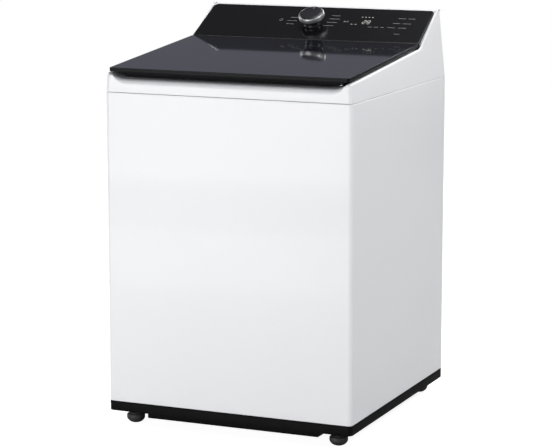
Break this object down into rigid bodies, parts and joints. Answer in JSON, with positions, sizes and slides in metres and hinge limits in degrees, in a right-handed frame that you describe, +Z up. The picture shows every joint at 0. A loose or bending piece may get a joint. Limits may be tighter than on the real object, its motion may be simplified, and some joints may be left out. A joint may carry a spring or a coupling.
{
  "type": "top load washing machine",
  "caption": "White top load washing machine with a dark glass lid, a sloping black console with a dial, a suspended tub and spin basket, direct drive, drain pump and levelling feet.",
  "frame": {"origin": "on the floor, under the middle of the overall bounding box", "axes": "+X to the right as seen from the front, -Y towards the front, +Z up"},
  "size_m": [0.686, 0.721, 1.0679],
  "materials": {
    "white_enamel": "gloss",
    "galvanised_sheet": "satin",
    "black_skirt": "satin",
    "gloss_black": "gloss",
    "rear_grey": "satin",
    "circuit_board": "satin",
    "dark_plastic": "matte",
    "white_plastic": "satin",
    "tub_plastic": "satin",
    "valve_blue": "satin",
    "hose_rubber": "matte",
    "foot_rubber": "matte",
    "steel": "satin",
    "damper_grey": "satin",
    "tinted_glass": "gloss",
    "knob_grey": "satin",
    "silver_trim": "satin",
    "spring_steel": "satin",
    "cast_aluminium": "cast",
    "copper_winding": "satin",
    "brass_fork": "satin",
    "sintered_steel": "matte",
    "stainless": "satin",
    "wash_plate_blue": "satin",
    "wash_plate_cap_grey": "satin",
    "harness_jacket": "matte"
  },
  "bodies": {
    "body": {"cabinet_shell": "white_enamel", "rear_panel": "galvanised_sheet", "rear_access_cover": "galvanised_sheet", "base_frame": "black_skirt", "top_cover": "white_enamel", "console_fascia": "gloss_black", "console_rear_cover": "rear_grey", "display_board": "circuit_board", "control_box": "dark_plastic", "knob_encoder": "steel", "dispenser_housing": "white_plastic", "water_valves": "valve_blue", "inlet_hoses": "hose_rubber", "pressure_sensor": "white_plastic", "lid_lock_housing": "dark_plastic", "hinge_brackets": "dark_plastic", "soft_close_damper": "damper_grey", "lid_bumpers": "hose_rubber", "foot_lock_nuts": "steel", "rod_sockets": "galvanised_sheet", "suspension_rods": "steel", "rod_end_caps": "dark_plastic", "drain_pump": "dark_plastic", "drain_pipe": "hose_rubber", "drain_outlet": "dark_plastic", "power_gland": "dark_plastic", "wire_harness": "harness_jacket"},
    "lid": {"lid_frame": "gloss_black", "lid_glass": "tinted_glass", "lid_striker": "steel", "lid_hinge_pins": "steel"},
    "knob": {"knob_body": "knob_grey", "knob_ring": "silver_trim"},
    "drawer": {"dispenser_drawer": "white_plastic"},
    "lock_bolt": {"lid_lock_bolt": "steel"},
    "tub": {"outer_tub": "tub_plastic", "tub_ring": "tub_plastic", "bearing_housing": "cast_aluminium", "shaft_bearings": "steel", "tub_seal": "hose_rubber", "stator": "copper_winding", "clutch_actuator": "dark_plastic", "suspension_springs": "spring_steel", "sump_hose": "hose_rubber"},
    "basket": {"spin_shaft": "steel", "basket_hub": "cast_aluminium", "basket_base": "stainless", "basket_wall": "stainless", "balance_ring": "tub_plastic"},
    "coupler": {"clutch_coupler": "sintered_steel"},
    "fork": {"clutch_fork": "brass_fork"},
    "drive": {"drive_shaft": "steel", "rotor": "sintered_steel", "wash_plate": "wash_plate_blue", "wash_plate_cap": "wash_plate_cap_grey"},
    "pump_rotor": {"pump_impeller": "white_plastic"},
    "foot_fl": {"foot_front_left": "foot_rubber"},
    "foot_fr": {"foot_front_right": "foot_rubber"},
    "foot_rl": {"foot_rear_left": "foot_rubber"},
    "foot_rr": {"foot_rear_right": "foot_rubber"}
  },
  "joints": [
    {"name": "lid_hinge", "type": "hinge", "parent": "body", "child": "lid", "pos_m": [0, 0.1335, 0.974], "axis": [-1, 0, 0], "range_deg": [0, 65]},
    {"name": "knob_turn", "type": "hinge", "parent": "body", "child": "knob", "pos_m": [0, 0.21255, 1.02398], "axis": [0, -0.4829, 0.8757], "continuous": true},
    {"name": "drawer_slide", "type": "slide", "parent": "body", "child": "drawer", "axis": [0, -1, 0], "range_m": [0, 0.11]},
    {"name": "lock_bolt_slide", "type": "slide", "parent": "body", "child": "lock_bolt", "axis": [-1, 0, 0], "range_m": [0, 0.008]},
    {"name": "tub_bounce", "type": "slide", "parent": "body", "child": "tub", "axis": [0, 0, 1], "range_m": [-0.03, 0.015], "stiffness_N_per_m": 12000, "springref_m": 0.0303, "deforming": ["suspension_springs", "sump_hose"]},
    {"name": "basket_spin", "type": "hinge", "parent": "tub", "child": "basket", "pos_m": [0, -0.013, 0.25], "axis": [0, 0, 1], "continuous": true},
    {"name": "coupler_shift", "type": "slide", "parent": "basket", "child": "coupler", "axis": [0, 0, 1], "range_m": [0, 0.008]},
    {"name": "fork_shift", "type": "slide", "parent": "tub", "child": "fork", "axis": [0, 0, 1], "range_m": [0, 0.008]},
    {"name": "drive_spin", "type": "hinge", "parent": "tub", "child": "drive", "pos_m": [0, -0.013, 0.2], "axis": [0, 0, 1], "continuous": true},
    {"name": "pump_spin", "type": "hinge", "parent": "body", "child": "pump_rotor", "pos_m": [0.14, 0.19, 0.095], "axis": [0, 0, 1], "continuous": true},
    {"name": "foot_front_left_level", "type": "slide", "parent": "body", "child": "foot_fl", "axis": [0, 0, 1], "range_m": [-0.012, 0]},
    {"name": "foot_front_right_level", "type": "slide", "parent": "body", "child": "foot_fr", "axis": [0, 0, 1], "range_m": [-0.012, 0]},
    {"name": "foot_rear_left_level", "type": "slide", "parent": "body", "child": "foot_rl", "axis": [0, 0, 1], "range_m": [-0.012, 0]},
    {"name": "foot_rear_right_level", "type": "slide", "parent": "body", "child": "foot_rr", "axis": [0, 0, 1], "range_m": [-0.012, 0]}
  ],
  "couplings": [
    {"joint": "fork_shift", "follows": "coupler_shift", "ratio": 1}
  ]
}
